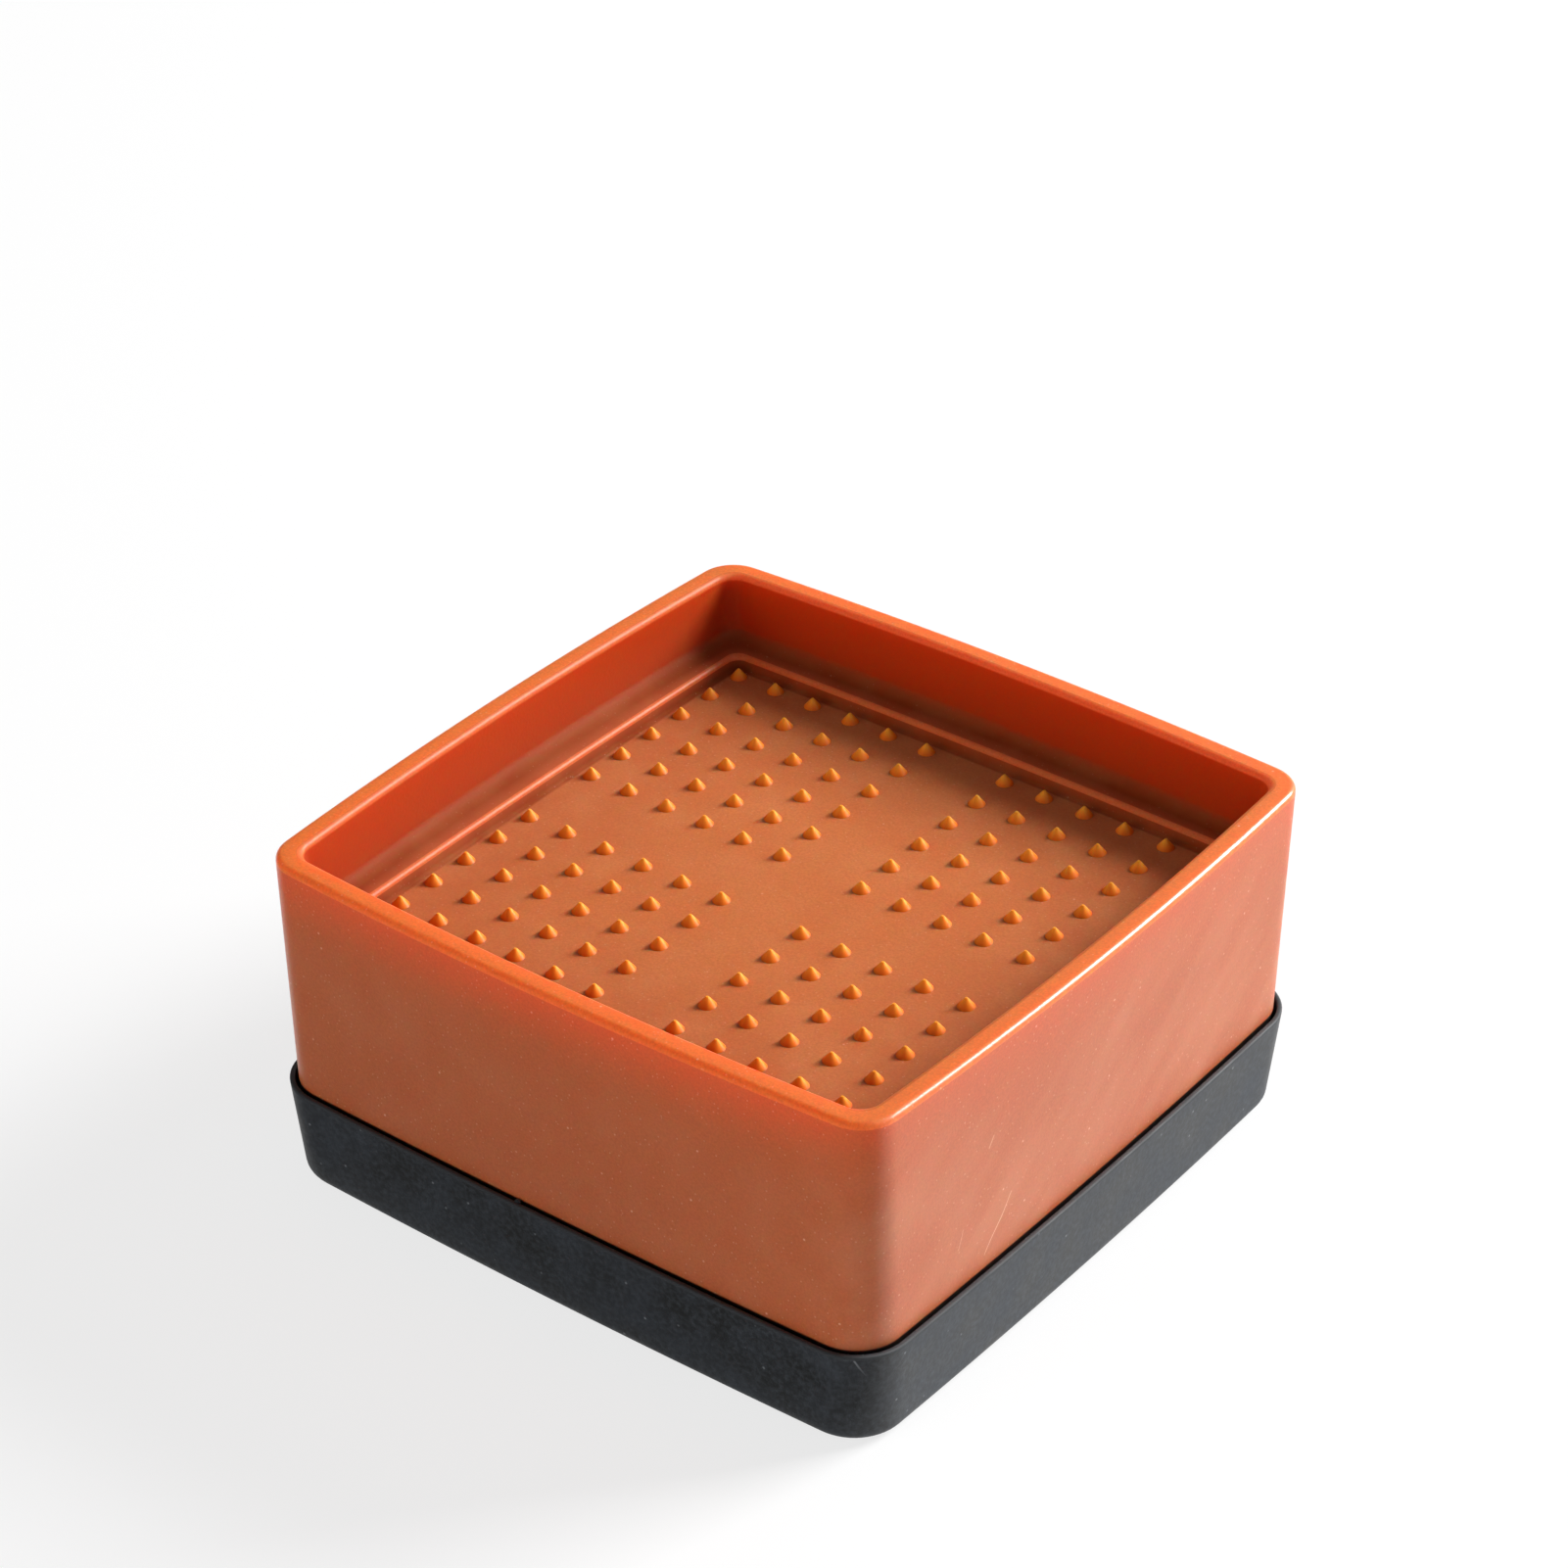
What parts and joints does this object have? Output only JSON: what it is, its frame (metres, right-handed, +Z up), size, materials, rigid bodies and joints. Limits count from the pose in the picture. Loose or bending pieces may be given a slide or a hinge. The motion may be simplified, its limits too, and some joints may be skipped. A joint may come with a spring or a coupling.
{
  "type": "bed riser",
  "caption": "Square translucent rubber cup with a stepped recess and a field of grip cones, seated in a tapered black rubber base, that lifts a bed or sofa leg.",
  "frame": {"origin": "on the floor under the middle of the riser", "axes": "+Z up out of the recess, X and Y along the sides"},
  "size_m": [0.0844, 0.0844, 0.0422],
  "materials": {
    "cup": "satin",
    "base": "matte"
  },
  "bodies": {
    "root": {"cup": "cup", "base": "base"}
  },
  "joints": []
}
